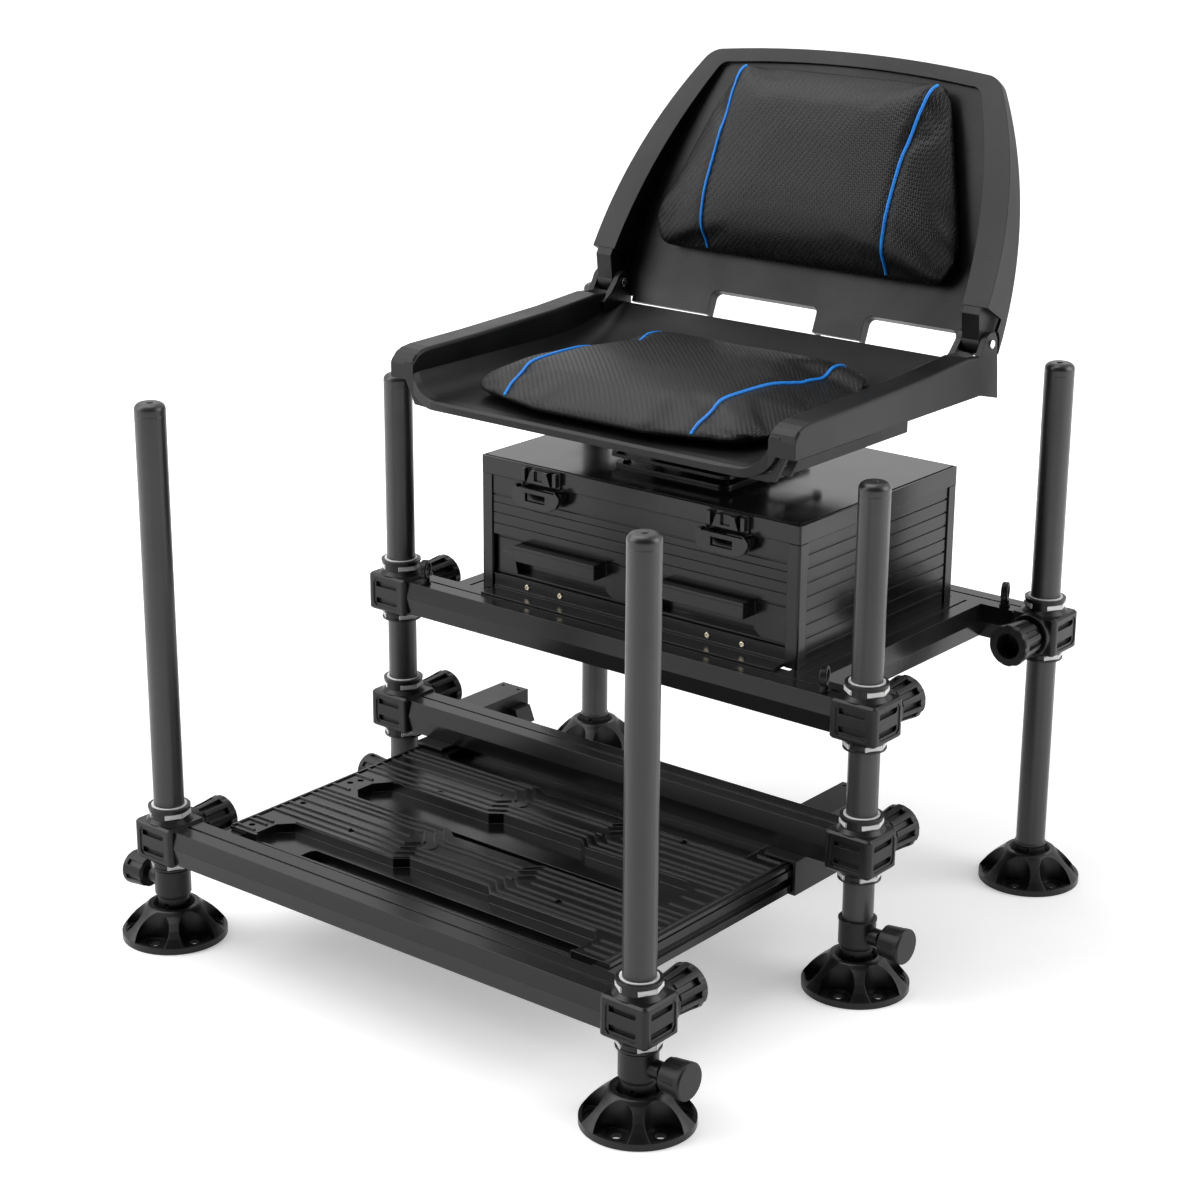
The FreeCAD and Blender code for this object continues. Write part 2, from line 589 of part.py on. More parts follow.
def box_body():
    # Open case with grooved walls, a drawer bay in front and a floor above the drawers
    low = UPPER_Z + RAIL_H / 2
    inset = 1.5
    case = box((-BOX_HALF + inset, BOX_FRONT + inset, low), (BOX_HALF - inset, BOX_REAR - inset, BOX_TOP))
    floor = DRAWER_TOP + 3.5
    case = case.cut(box((-BOX_HALF + inset + BOX_WALL, BOX_FRONT + inset + BOX_WALL, floor),
                        (BOX_HALF - inset - BOX_WALL, BOX_REAR - inset - BOX_WALL, BOX_TOP + 1)))
    case = case.cut(box((-DRAWER_W - 2, BOX_FRONT - 1, DRAWER_BOTTOM - 0.5),
                        (DRAWER_W + 2, BOX_FRONT + DRAWER_DEPTH + 20, DRAWER_TOP + 0.5)))
    for z in (306, 320, 334, 348, 362, 376, 390, 404):
        for x in (-1, 1):
            edge = x * (BOX_HALF - inset)
            case = case.cut(box((edge - 1, BOX_FRONT + 14, z), (edge + 1, BOX_REAR - 14, z + 2)))
        case = case.cut(box((-BOX_HALF + 14, BOX_REAR - inset - 1, z), (BOX_HALF - 14, BOX_REAR, z + 2)))
    for z, tall in ((365.5, 0.9), (377.0, 0.9), (388.0, 0.6), (395.8, 1.8)):
        case = case.cut(box((-BOX_HALF + 12, BOX_FRONT, z),
                            (BOX_HALF - 12, BOX_FRONT + inset + 1.2, z + tall)))
    case = case.cut(box((-BOX_HALF + 12, BOX_FRONT, 299.0), (BOX_HALF - 12, BOX_FRONT + inset + 0.8, 310.5)))
    # Flanges that close the gaps down to the front and rear rails
    case = case.fuse(box((-184, 8, low), (184, BOX_FRONT + 4, low + 3)))
    case = case.fuse(box((-184, BOX_REAR - 4, low), (184, 322, low + 3)))
    # Lugs that carry the pivot pins of the two latches
    for x in (-LATCH_X - 24, -LATCH_X + 20, LATCH_X - 24, LATCH_X + 20):
        lug = box((x, LATCH_PIVOT_Y - 2.2, LATCH_PIVOT_Z - 3.5), (x + 4, BOX_FRONT + 3, LATCH_PIVOT_Z + 3.5))
        case = case.fuse(lug.cut(cylinder(1.45, 6, (x - 1, LATCH_PIVOT_Y, LATCH_PIVOT_Z), V(1, 0, 0))))
    return case.removeSplitter()


def corner_posts():
    # Angle extrusions round the four upright corners of the case
    low = UPPER_Z + RAIL_H / 2
    posts = []
    for sx in (-1, 1):
        for y, sy in ((BOX_FRONT, 1), (BOX_REAR, -1)):
            x = sx * BOX_HALF
            outer = box((min(x, x - sx * 14), min(y, y + sy * 14), low),
                        (max(x, x - sx * 14), max(y, y + sy * 14), BOX_TOP))
            corner = [e for e in outer.Edges if e.BoundBox.ZLength > 50
                      and abs(e.BoundBox.XMin - x) < 0.1 and abs(e.BoundBox.YMin - y) < 0.1]
            outer = outer.makeFillet(3.0, corner)
            inner = box((min(x - sx * 1.5, x - sx * 15), min(y + sy * 1.5, y + sy * 15), low - 1),
                        (max(x - sx * 1.5, x - sx * 15), max(y + sy * 1.5, y + sy * 15), BOX_TOP + 1))
            posts.append(outer.cut(inner))
    return group(posts)


SCREW_XS = (-139.0, -95.3, 92.0, 134.0)


def box_screws():
    # Bright pan head screws along the strip below the drawers
    screws = []
    face = BOX_FRONT + 1.5 + 0.8
    for x in SCREW_XS:
        head = Part.makeCone(3.4, 2.6, 1.9, V(x, face, 304.5), V(0, -1, 0))
        screws.append(head.cut(cylinder(1.2, 1.4, (x, face - 2.4, 304.5), V(0, 1, 0))))
    return group(screws)


def lid_frame():
    skirt = box((-BOX_HALF, BOX_FRONT, LID_BOTTOM), (BOX_HALF, BOX_REAR, LID_TOP))
    edges = [e for e in skirt.Edges if e.BoundBox.ZLength > 10]
    skirt = skirt.makeFillet(2.5, edges)
    skirt = skirt.cut(box((-BOX_HALF + 3, BOX_FRONT + 3, LID_BOTTOM - 1),
                          (BOX_HALF - 3, BOX_REAR - 3, LID_TOP - 4)))
    return skirt.cut(box((-BOX_HALF + 2.5, BOX_FRONT + 2.5, LID_TOP - 1.5),
                         (BOX_HALF - 2.5, BOX_REAR - 2.5, LID_TOP + 1)))


def lid_panel():
    panel = box((-BOX_HALF + 4, BOX_FRONT + 4, LID_TOP - 1.5), (BOX_HALF - 4, BOX_REAR - 4, LID_TOP + 0.6))
    edges = [e for e in panel.Edges if e.BoundBox.ZLength > 1]
    return panel.makeFillet(3.0, edges)


def lid_hinge():
    # Piano hinge along the back: one leaf on the case, with its knuckle and pin
    z = BOX_TOP + 0.3
    leaf = box((-170, BOX_REAR + 0.1, z - 20), (170, BOX_REAR + 1.6, z))
    knuckle = cylinder(2.5, 340, (-170, BOX_REAR + 2.6, z), V(1, 0, 0))
    return leaf.fuse(knuckle).removeSplitter()


def latch(x):
    # Draw latch lever: a bowed plate with a finger window, cheeks and its pivot pin
    front = BOX_FRONT - 13.0
    outline = [(-31, 404), (-31, 413), (-26, 417.5), (26, 417.5), (31, 413), (31, 408), (27, 401),
               (18, 395.8), (-22, 395.8), (-28, 398.5)]
    plate = prism([(x + u, front, w) for u, w in outline], (0, 4.0, 0))
    plate = plate.cut(box((x - 13, front - 1, 402.3), (x + 13, front + 5, 411.0)))
    plate = plate.cut(box((x - 24.5, front - 1, 415.5), (x + 25.0, front + 5, 418.0)))
    for low in (-31, 27.5):
        cheek_outline = [(front + 3, 403), (front + 3, 416), (BOX_FRONT - 2, 416), (BOX_FRONT - 0.6, 413),
                         (BOX_FRONT - 0.6, 409.5)]
        cheek = prism([(x + low, v, w) for v, w in cheek_outline], (3.5, 0, 0))
        plate = plate.fuse(cheek)
    plate = plate.fuse(cylinder(1.4, 60, (x - 30, LATCH_PIVOT_Y, LATCH_PIVOT_Z), V(1, 0, 0)))
    return plate.removeSplitter()


def latch_keepers():
    # Base plate on the lid's edge with a middle tab and a bracket at either side
    keepers = []
    for x in (-LATCH_X, LATCH_X):
        plate = box((x - 23, BOX_FRONT - 2.2, 418.4), (x + 24, BOX_FRONT - 0.05, LID_TOP - 0.5))
        tab_outline = [(-9, 434), (-14, 421), (17, 421), (12, 434)]
        tab = prism([(x + u, BOX_FRONT - 9.5, w) for u, w in tab_outline], (0, 8, 0))
        tab = tab.cut(box((x - 4, BOX_FRONT - 11, 424), (x + 7, BOX_FRONT - 7, 436)))
        plate = plate.fuse(tab)
        for low in (-22, 18.5):
            plate = plate.fuse(box((x + low, BOX_FRONT - 8, 421), (x + low + 4.5, BOX_FRONT - 1, 434.5)))
        keepers.append(plate.removeSplitter())
    return group(keepers)


def drawer(side):
    # Thin tray behind a thick front with a finger scoop, and a hooded pull over the scoop
    left = 0.8 if side > 0 else -DRAWER_W - 0.2
    right = left + DRAWER_W - 0.6
    face = BOX_FRONT + DRAWER_SET_BACK
    back = face + SCOOP_DEEP + 2
    rear = face + DRAWER_DEPTH
    middle = (left + right) / 2
    low = DRAWER_BOTTOM
    wall_top = DRAWER_TOP - 6
    tray = [box((left + 1, back, low), (right - 1, rear, low + 2)),
            box((left + 1, back, low + 2), (left + 3, rear, wall_top)),
            box((right - 3, back, low + 2), (right - 1, rear, wall_top)),
            box((left + 3, rear - 2, low + 2), (right - 3, rear, wall_top))]
    # The front is built up round the scoop
    deep = (0, back - face, 0)
    scoop = [(-69, SCOOP_TOP), (-63.5, SCOOP_LOW), (60.5, SCOOP_LOW), (52.5, SCOOP_LOW + 6.5), (52.5, SCOOP_TOP)]
    left_cheek = [(left - middle, SCOOP_TOP), (left - middle, SCOOP_LOW), scoop[1], scoop[0]]
    right_cheek = [(right - middle, SCOOP_LOW), (right - middle, SCOOP_TOP), scoop[4], scoop[3], scoop[2]]
    upper = box((left, face, SCOOP_TOP), (right, back, DRAWER_TOP))
    upper = upper.cut(box((left + 3, face - 1, DRAWER_TOP - 3.6), (right - 3, face + 0.8, DRAWER_TOP - 2.6)))
    front = [upper, box((left, face, low), (right, back, SCOOP_LOW))]
    for outline in (left_cheek, right_cheek):
        front.append(prism([(middle + u, face, w) for u, w in outline], deep))
    front.append(prism([(middle + u, face + SCOOP_DEEP, w) for u, w in scoop], (0, back - face - SCOOP_DEEP, 0)))
    tip = face - PULL_REACH
    one = middle - PULL_HALF
    two = middle + PULL_HALF
    pull = [box((one, tip, PULL_TOP - 3), (two, face, PULL_TOP)),
            box((one, tip, SCOOP_TOP), (two, tip + 3, PULL_TOP - 3)),
            box((one, tip + 3, SCOOP_TOP), (one + 3, face, PULL_TOP - 3)),
            box((two - 3, tip + 3, SCOOP_TOP), (two, face, PULL_TOP - 3))]
    return group(tray + front + pull)


def swivel_base():
    # Lower plate screwed to the lid, with the outer bearing ring
    low = LID_TOP + 0.6
    half = SWIVEL_HALF
    plate = box((-half, SWIVEL_Y - half, low), (half, SWIVEL_Y + half, low + 3))
    plate = plate.makeFillet(10.0, [e for e in plate.Edges if e.BoundBox.ZLength > 2])
    ring = cylinder(60, 6, (0, SWIVEL_Y, low + 3)).cut(cylinder(51, 20, (0, SWIVEL_Y, low)))
    plate = plate.fuse(ring)
    for sx in (-1, 1):
        for sy in (-1, 1):
            place = (sx * (half - 11), SWIVEL_Y + sy * (half - 11), low + 3)
            plate = plate.fuse(Part.makeCone(5.0, 3.6, 2.0, V(*place)))
    return plate.removeSplitter()


def swivel_plate():
    # Upper plate with the inner bearing ring below it and a pressed riser above it
    half = SWIVEL_HALF + 3
    plate = box((-half, SWIVEL_Y - half, SWIVEL_TOP - 3.5), (half, SWIVEL_Y + half, SWIVEL_TOP))
    plate = plate.makeFillet(10.0, [e for e in plate.Edges if e.BoundBox.ZLength > 2])
    ring = cylinder(49, 6, (0, SWIVEL_Y, SWIVEL_TOP - 9))
    ring = ring.cut(cylinder(40, 20, (0, SWIVEL_Y, SWIVEL_TOP - 12)))
    riser = Part.makeCone(62, 58, RIB_BOTTOM - SWIVEL_TOP, V(0, SWIVEL_Y, SWIVEL_TOP))
    riser = riser.cut(Part.makeCone(58, 54, RIB_BOTTOM - SWIVEL_TOP, V(0, SWIVEL_Y, SWIVEL_TOP)))
    flange = cylinder(76, 3, (0, SWIVEL_Y, RIB_BOTTOM - 3))
    flange = flange.cut(cylinder(50, 9, (0, SWIVEL_Y, RIB_BOTTOM - 6)))
    plate = plate.fuse(ring).fuse(riser).fuse(flange)
    for sx in (-1, 1):
        for sy in (-1, 1):
            place = (sx * (half - 10), SWIVEL_Y + sy * (half - 10), SWIVEL_TOP)
            plate = plate.fuse(Part.makeCone(5.0, 3.6, 2.0, V(*place)))
    return plate.removeSplitter()


def swivel_lever():
    # Bent lock lever: a flat boss on its pivot, a rod out from under the seat and a ball grip
    path = [V(66, SWIVEL_Y - 27, SWIVEL_TOP + 2.9), V(104, SWIVEL_Y - 23, 453.5), V(114, SWIVEL_Y + 24, 456)]
    lever = cylinder(6.0, 5.0, (66, SWIVEL_Y - 27, SWIVEL_TOP + 0.3)).fuse(Part.makeSphere(2.6, path[1]))
    for start, end in zip(path, path[1:]):
        lever = lever.fuse(Part.makeCylinder(2.6, (end - start).Length, start, end - start))
    return lever.fuse(Part.makeSphere(5.5, path[2])).removeSplitter()


PAN = [
    # y, floor, arm top, corner radius
    (-46.0, 511.5, 546.0, 34.0),
    (20.0, 511.5, 551.0, 34.0),
    (90.0, 511.5, 556.0, 34.0),
    (155.0, 513.0, 560.0, 32.0),
    (205.0, 521.0, 564.0, 26.0),
    (245.0, 535.0, 567.0, 20.0),
    (PAN_REAR, 553.0, 567.0, 9.0),
]


def quarter(centre, radius, start, end, y):
    # Arc in an upright plane at y between two angles in degrees, seen from the front
    points = []
    for angle in (start, (start + end) / 2, end):
        turn = math.radians(angle)
        points.append(V(centre[0] + radius * math.cos(turn), y, centre[1] + radius * math.sin(turn)))
    return Part.Arc(points[0], points[1], points[2]).toShape()


def pan_wire(y, floor, radius, drop):
    # Closed outline of the pan's skin at one y: the floor turned up at both sides
    side = SEAT_HALF - ARM_W + 2
    top = floor + radius
    cx = side - radius
    inner_r = quarter((cx, top), radius, -90, 0, y)
    inner_l = quarter((-cx, top), radius, 180, 270, y)
    outer_r = quarter((cx, top), radius + drop, -90, 0, y)
    outer_l = quarter((-cx, top), radius + drop, 180, 270, y)
    edges = [inner_l, Part.LineSegment(V(-cx, y, floor), V(cx, y, floor)).toShape(), inner_r,
             Part.LineSegment(V(side, y, top), V(side + drop, y, top)).toShape(),
             outer_r, Part.LineSegment(V(cx, y, floor - drop), V(-cx, y, floor - drop)).toShape(), outer_l,
             Part.LineSegment(V(-side - drop, y, top), V(-side, y, top)).toShape()]
    return Part.Wire(Part.__sortEdges__(edges))


def seat_arm():
    # Hollow arm rail of the pan, its front top corner well rounded
    outline = [(-54, ARM_BOTTOM), (-54, 541), (-52, 547), (-47.5, 551.5), (-40, 554.5), (-28, 556), (48, 557.5),
               (167, 562), (236, 567), (262, 565), (291, 557), (295, 517), (261, ARM_BOTTOM)]
    arm = prism([(SEAT_HALF - ARM_W, y, z) for y, z in outline], (ARM_W, 0, 0))
    level = [e for e in arm.Edges if e.BoundBox.XLength < 0.1 and e.BoundBox.YLength > 2]
    tops = [e for e in level if e.BoundBox.ZMin > 533 and e.BoundBox.ZMax < 568 and e.BoundBox.YMax < 292]
    arm = arm.makeFillet(3.5, tops)
    core = [(-49, ARM_BOTTOM - 1), (-49, 540), (-36, 548), (48, 550), (167, 555), (236, 560), (255, 558),
            (258, ARM_BOTTOM - 1)]
    return arm.cut(prism([(SEAT_HALF - ARM_W + 4, y, z) for y, z in core], (ARM_W - 8, 0, 0)))


def hinge_ears():
    # Two upright ears on each arm with the backrest pin through them
    ears = []
    for low, lead in ((EAR_IN, 22), (EAR_OUT - EAR_T, 18)):
        base = [(PIN_Y - lead - 12, 558), (PIN_Y - lead, 566), (PIN_Y - 11, PIN_Z + 3),
                (PIN_Y + 11, PIN_Z + 2), (291, 556), (291, 548), (PIN_Y - lead - 12, 548)]
        ear = prism([(low, y, z) for y, z in base], (EAR_T, 0, 0))
        ear = ear.fuse(cylinder(11.4, EAR_T, (low, PIN_Y, PIN_Z), V(1, 0, 0)))
        ears.append(ear)
    return ears


def pan_underside():
    # Ribs below the pan, the ring that the riser bolts to, and a gusset under each arm
    ribs = []
    for x in (-178, -118, 118, 178):
        ribs.append(box((x - 2, 0, RIB_BOTTOM), (x + 2, 238, 520)))
    for y in (0, 78, 232):
        ribs.append(box((-180, y, RIB_BOTTOM), (180, y + 4, 520)))
    ring = cylinder(76, 30, (0, SWIVEL_Y, RIB_BOTTOM + 0.1))
    ribs.append(ring.cut(cylinder(66, 40, (0, SWIVEL_Y, RIB_BOTTOM - 1))))
    for sign in (-1, 1):
        gusset = [(sign * 200, 499), (sign * 221, 500), (sign * 234, 526), (sign * 229, 526),
                  (sign * 216, 508), (sign * 200, 503)]
        ribs.append(prism([(x, -48, z) for x, z in gusset], (0, 5, 0)))
        ribs.append(prism([(x, -24, z) for x, z in gusset], (0, 5, 0)))
    return ribs


def seat_pan():
    skin = Part.makeLoft([pan_wire(y, floor, radius, PAN_T) for y, floor, arm, radius in PAN], True, False)
    lip = Part.makeLoft([pan_wire(PAN_FRONT, 508.5, 31.0, 6.5), pan_wire(-56.0, 510.5, 33.0, 10.0),
                         pan_wire(-46.0, 511.5, 34.0, PAN_T)], True, True)
    skin = skin.fuse(lip)
    ribs = pan_underside()
    pan = skin
    for piece in ribs:
        pan = pan.fuse(piece)
    hollow = [(-44, 600), (-44, 511.5), (20, 511.5), (90, 511.5), (155, 513), (205, 521), (245, 535),
              (PAN_REAR, 553), (PAN_REAR, 600)]
    cx = SEAT_HALF - ARM_W - 32
    pan = pan.cut(prism([(-cx, y, z) for y, z in hollow], (2 * cx, 0, 0)))
    # The front lip sweeps back at its ends to meet the arms
    inside = SEAT_HALF - ARM_W
    trim = prism([(x, y, 480) for x, y in [(160, -75), (160, -60.2), (190, -58.5), (inside, -53.8), (260, -53.8),
                                           (260, -75)]], (0, 0, 120))
    pan = pan.cut(trim).cut(mirrored(trim))
    arm = seat_arm()
    for piece in [arm] + hinge_ears():
        pan = pan.fuse(piece).fuse(mirrored(piece))
    gap = prism([(EAR_IN + EAR_T, y, z) for y, z in GAP_PROFILE],
                (EAR_OUT - EAR_IN - 2 * EAR_T, 0, 0))
    pan = pan.cut(gap).cut(mirrored(gap))
    hole = cylinder(PIN_R + RUN_GAP, 600, (-300, PIN_Y, PIN_Z), V(1, 0, 0))
    return pan.cut(hole).removeSplitter()


def hinge_pins():
    length = EAR_OUT - EAR_IN + 0.6
    pin = cylinder(PIN_R, length, (EAR_IN - 0.3, PIN_Y, PIN_Z), V(1, 0, 0))
    for x in (EAR_IN - 1.8, EAR_OUT + 0.3):
        pin = pin.fuse(cylinder(4.2, 1.5, (x, PIN_Y, PIN_Z), V(1, 0, 0)))
    pin = pin.removeSplitter()
    return group([pin, mirrored(pin)])


def flat_seat(u, v, level):
    return (u, v, level)


def pillow(corners, radii, base, top, centre, place, steps):
    # A closed cushion: sides drawn in below, full at a third of the height, crowned on top
    wires = []
    for share, factor in steps:
        level = base + (top - base) * share
        arcs = [r * factor for r in radii]
        wires.append(rounded_outline(scaled(corners, factor, centre), arcs, level, place))
    return Part.makeLoft(wires, True, True)


PILLOW_STEPS = [(0.0, 0.93), (0.2, 0.985), (0.4, 1.0), (0.58, 0.95), (0.72, 0.86), (0.84, 0.74),
                (0.93, 0.56), (1.0, 0.3)]


def seat_cushion(pan):
    corners = [(-70, -53), (70, -53), (176, -24), (181, 80), (150, 243), (-150, 243), (-181, 80), (-176, -24)]
    radii = [60, 60, 36, 60, 34, 34, 60, 36]
    pad = pillow(corners, radii, 511.6, 554.0, (0, 100), flat_seat, PILLOW_STEPS)
    pad = pad.cut(pan)
    return max(pad.Solids, key=lambda s: s.Volume)


def lean_back(shape):
    shape.rotate(V(0, 0, 0), V(1, 0, 0), -LEAN)
    shape.translate(V(0, RIM_Y, RIM_Z))
    return shape


def floor_depth(up):
    # Depth of the recess floor behind the rim's front plane
    return FLOOR_TOP + (RIM_TOP - up) * FLOOR_SLOPE


def behind_floor(extra):
    # Everything deeper than the recess floor, moved back by extra
    low = -60
    high = 300
    points = [(-300, floor_depth(low) + extra, low), (-300, floor_depth(high) + extra, high),
              (-300, 120, high), (-300, 120, low)]
    return prism(points, (600, 0, 0))


def back_outline(inset, bottom):
    # Outer edge of the backrest seen square on, as (x, up)
    i = inset
    right = Part.Arc(V(246 - i, 0, bottom), V(230 - i, 0, 148), V(185 - i, 0, 254 - i)).toShape()
    left = Part.Arc(V(-185 + i, 0, 254 - i), V(-230 + i, 0, 148), V(-246 + i, 0, bottom)).toShape()
    over_right = Part.Arc(V(185 - i, 0, 254 - i), V(177 - i, 0, 263 - i), V(165 - i, 0, 267.5 - i)).toShape()
    over_left = Part.Arc(V(-165 + i, 0, 267.5 - i), V(-177 + i, 0, 263 - i),
                         V(-185 + i, 0, 254 - i)).toShape()
    top = Part.Arc(V(165 - i, 0, 267.5 - i), V(0, 0, 277 - i), V(-165 + i, 0, 267.5 - i)).toShape()
    base = Part.LineSegment(V(-246 + i, 0, bottom), V(246 - i, 0, bottom)).toShape()
    return Part.Face(Part.Wire([right, over_right, top, over_left, left, base]))


def recess_outline(g):
    # Inner edge of the rim, grown outward by g
    right = Part.Arc(V(217 + g, 0, -40), V(199 + g, 0, 150), V(164 + g, 0, 244 + g)).toShape()
    over_right = Part.Arc(V(164 + g, 0, 244 + g), V(159 + g, 0, 251 + g), V(149 + g, 0, 254 + g)).toShape()
    top = Part.Arc(V(149 + g, 0, 254 + g), V(0, 0, 262 + g), V(-149 - g, 0, 254 + g)).toShape()
    over_left = Part.Arc(V(-149 - g, 0, 254 + g), V(-159 - g, 0, 251 + g), V(-164 - g, 0, 244 + g)).toShape()
    left = Part.Arc(V(-164 - g, 0, 244 + g), V(-199 - g, 0, 150), V(-217 - g, 0, -40)).toShape()
    base = Part.LineSegment(V(-217 - g, 0, -40), V(217 + g, 0, -40)).toShape()
    return Part.Face(Part.Wire([right, over_right, top, over_left, left, base]))


# Cut-outs in the lower edge of the back panel, as (from x, to x)
BACK_SLOTS = [(-105.0, 30.0), (89.0, 198.0)]
SLOT_TOP = 14.0
SLOT_FLANGE = 12.0
TAB_BOTTOM = -12.0
RIM_END = 30.0


def backrest_shell():
    bottom = TAB_BOTTOM
    deep = V(0, 75, 0)
    body = back_outline(0, bottom).extrude(deep)
    front = recess_outline(0).extrude(deep)
    front.translate(V(0, -1, 0))
    body = body.cut(front.cut(behind_floor(0))).cut(behind_floor(PANEL_T))
    behind = back_outline(SHELL_T, bottom - 5).extrude(deep)
    behind.translate(V(0, SHELL_T, 0))
    keep = recess_outline(SHELL_T).extrude(deep)
    body = body.cut(behind.cut(keep))
    for low, high in BACK_SLOTS:
        wide = min(high + 4, EAR_IN - 12)
        flange = prism([(low - 4, floor_depth(up) + deep_by, up) for deep_by, up in
                        [(1, bottom), (1, SLOT_TOP + 4), (SLOT_FLANGE, SLOT_TOP + 4), (SLOT_FLANGE, bottom)]],
                       (wide - low + 4, 0, 0))
        body = body.fuse(flange)
    for low, high in BACK_SLOTS:
        window = box((low, 20, bottom - 20), (high, 80, SLOT_TOP))
        upright = [e for e in window.Edges if e.BoundBox.YLength > 50 and e.BoundBox.ZMin > 0]
        body = body.cut(window.makeFillet(7.0, upright))
    # The rim stops above the hinge, only its outer wall runs on behind the ears
    stop = box((EAR_IN - 6, -5, bottom - 5), (SEAT_HALF + 5, 31, RIM_END))
    body = body.cut(stop).cut(mirrored(stop))
    under = box((EAR_IN - 6, 20, bottom - 20), (SEAT_HALF + 5, 90, -6))
    body = body.cut(under).cut(mirrored(under))
    body = lean_back(body)
    inner = EAR_IN + EAR_T + 0.6
    outer = EAR_OUT - EAR_T - 0.6
    tongue = [(0.5, RIM_END + 12), (0.5, RIM_END - 8), (17.5, -1), (28, -8), (41, -2), (44, RIM_END + 12)]
    tongue = lean_back(prism([(inner, n, up) for n, up in tongue], (outer - inner, 0, 0)))
    tongue = tongue.fuse(cylinder(12.0, outer - inner, (inner, PIN_Y, PIN_Z), V(1, 0, 0)))
    tongue = tongue.cut(cylinder(PIN_R + RUN_GAP, 60, (inner - 5, PIN_Y, PIN_Z), V(1, 0, 0)))
    body = body.fuse(tongue).fuse(mirrored(tongue))
    for low in (EAR_IN - 0.6, EAR_OUT - EAR_T - 0.6):
        clear = cylinder(15.0, EAR_T + 1.2, (low, PIN_Y, PIN_Z), V(1, 0, 0))
        clear = clear.fuse(box((low, PIN_Y - 60, PIN_Z - 60), (low + EAR_T + 1.2, PIN_Y + 15.0, PIN_Z)))
        body = body.cut(clear).cut(mirrored(clear))
    for low in (EAR_IN - 3.0, EAR_OUT - 0.2):
        head_room = cylinder(6.0, 3.2, (low, PIN_Y, PIN_Z), V(1, 0, 0))
        body = body.cut(head_room).cut(mirrored(head_room))
    return max(body.removeSplitter().Solids, key=lambda s: s.Volume)


def flat_back(u, v, level):
    # Cushion thickness runs forward from the recess floor
    return (u, floor_depth(v) + 1.0 - level, v)


def back_cushion(shell):
    corners = [(-180, 44), (180, 44), (196, 80), (136, 256), (-136, 256), (-196, 80)]
    radii = [26, 26, 34, 26, 26, 34]
    pad = pillow(corners, radii, 0.0, 50.0, (0, 145), flat_back, PILLOW_STEPS)
    pad = lean_back(pad)
    pad = pad.cut(shell)
    return max(pad.Solids, key=lambda s: s.Volume)


def build():
    parts = {}
    for name in LEG_TOP:
        parts["leg_" + name] = leg(name)
        parts["foot_" + name] = foot(name)
        if "rear" not in name:
            parts["foot_sleeve_" + name] = foot_sleeve(name)
            parts["foot_screw_" + name] = thumb_screw(name)
    frame_clamps = [c for c in CLAMPS if not c[0].startswith("footplate")]
    foot_clamps = [c for c in CLAMPS if c[0].startswith("footplate")]
    parts["frame_clamp_blocks"] = group([clamp_block(c[1], c[2], c[3]) for c in frame_clamps])
    parts["footplate_clamp_blocks"] = group([clamp_block(c[1], c[2], c[3]) for c in foot_clamps])
    parts["frame_clamp_liners"] = group([clamp_liner(c[1], c[2]) for c in frame_clamps])
    parts["footplate_clamp_liners"] = group([clamp_liner(c[1], c[2]) for c in foot_clamps])
    for name, leg_name, z, way in CLAMPS:
        parts["clamp_knob_" + name] = clamp_knob(leg_name, z, way)
    reach = LEG_X - BLOCK_HALF - 2.05
    parts["upper_cross_rails"] = group([cross_rail(ROW_FRONT, UPPER_Z, reach),
                                        cross_rail(ROW_REAR, UPPER_Z, reach)])
    parts["upper_side_rails"] = side_rails(ROW_FRONT, ROW_REAR)
    parts["lower_cross_rail"] = cross_rail(ROW_FRONT, LOWER_Z, reach)
    parts["footplate_beam"] = cross_rail(ROW_FOOTPLATE, BEAM_Z, reach)
    for name, maker in (("runner_channels", runner_channel), ("runner_brackets", runner_bracket),
                        ("footplate_slide_rails", slide_rail)):
        right = maker()
        parts[name] = group([right, mirrored(right)])
    parts["footplate_deck"] = deck()
    parts["strap_eyelets"] = eyelets()
    parts["box_body"] = box_body()
    parts["box_corner_posts"] = corner_posts()
    parts["box_screws"] = box_screws()
    parts["lid_frame"] = lid_frame()
    parts["lid_panel"] = lid_panel()
    parts["lid_hinge"] = lid_hinge()
    parts["latch_left"] = latch(-LATCH_X)
    parts["latch_right"] = latch(LATCH_X)
    parts["latch_keepers"] = latch_keepers()
    parts["drawer_left"] = drawer(-1)
    parts["drawer_right"] = drawer(1)
    parts["swivel_base"] = swivel_base()
    parts["swivel_plate"] = swivel_plate()
    parts["swivel_lever"] = swivel_lever()
    pan = seat_pan()
    parts["seat_pan"] = pan
    parts["seat_cushion"] = seat_cushion(pan)
    parts["hinge_pins"] = hinge_pins()
    shell = backrest_shell()
    parts["backrest_shell"] = shell
    parts["back_cushion"] = back_cushion(shell)
    return parts


os.makedirs("parts", exist_ok=True)
for node, shape in build().items():
    shape.translate(V(0, -ORIGIN_Y, 0))
    shape.exportStep("parts/" + node + ".step")
    sound = all(s.isValid() for s in shape.Solids)
    print(node, len(shape.Solids), "solids", "valid" if sound else "NOT VALID",
          round(shape.Volume / 1000, 1), "cm3")
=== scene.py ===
import json
import math

import bpy
from mathutils import Matrix, Vector
from mathutils.bvhtree import BVHTree


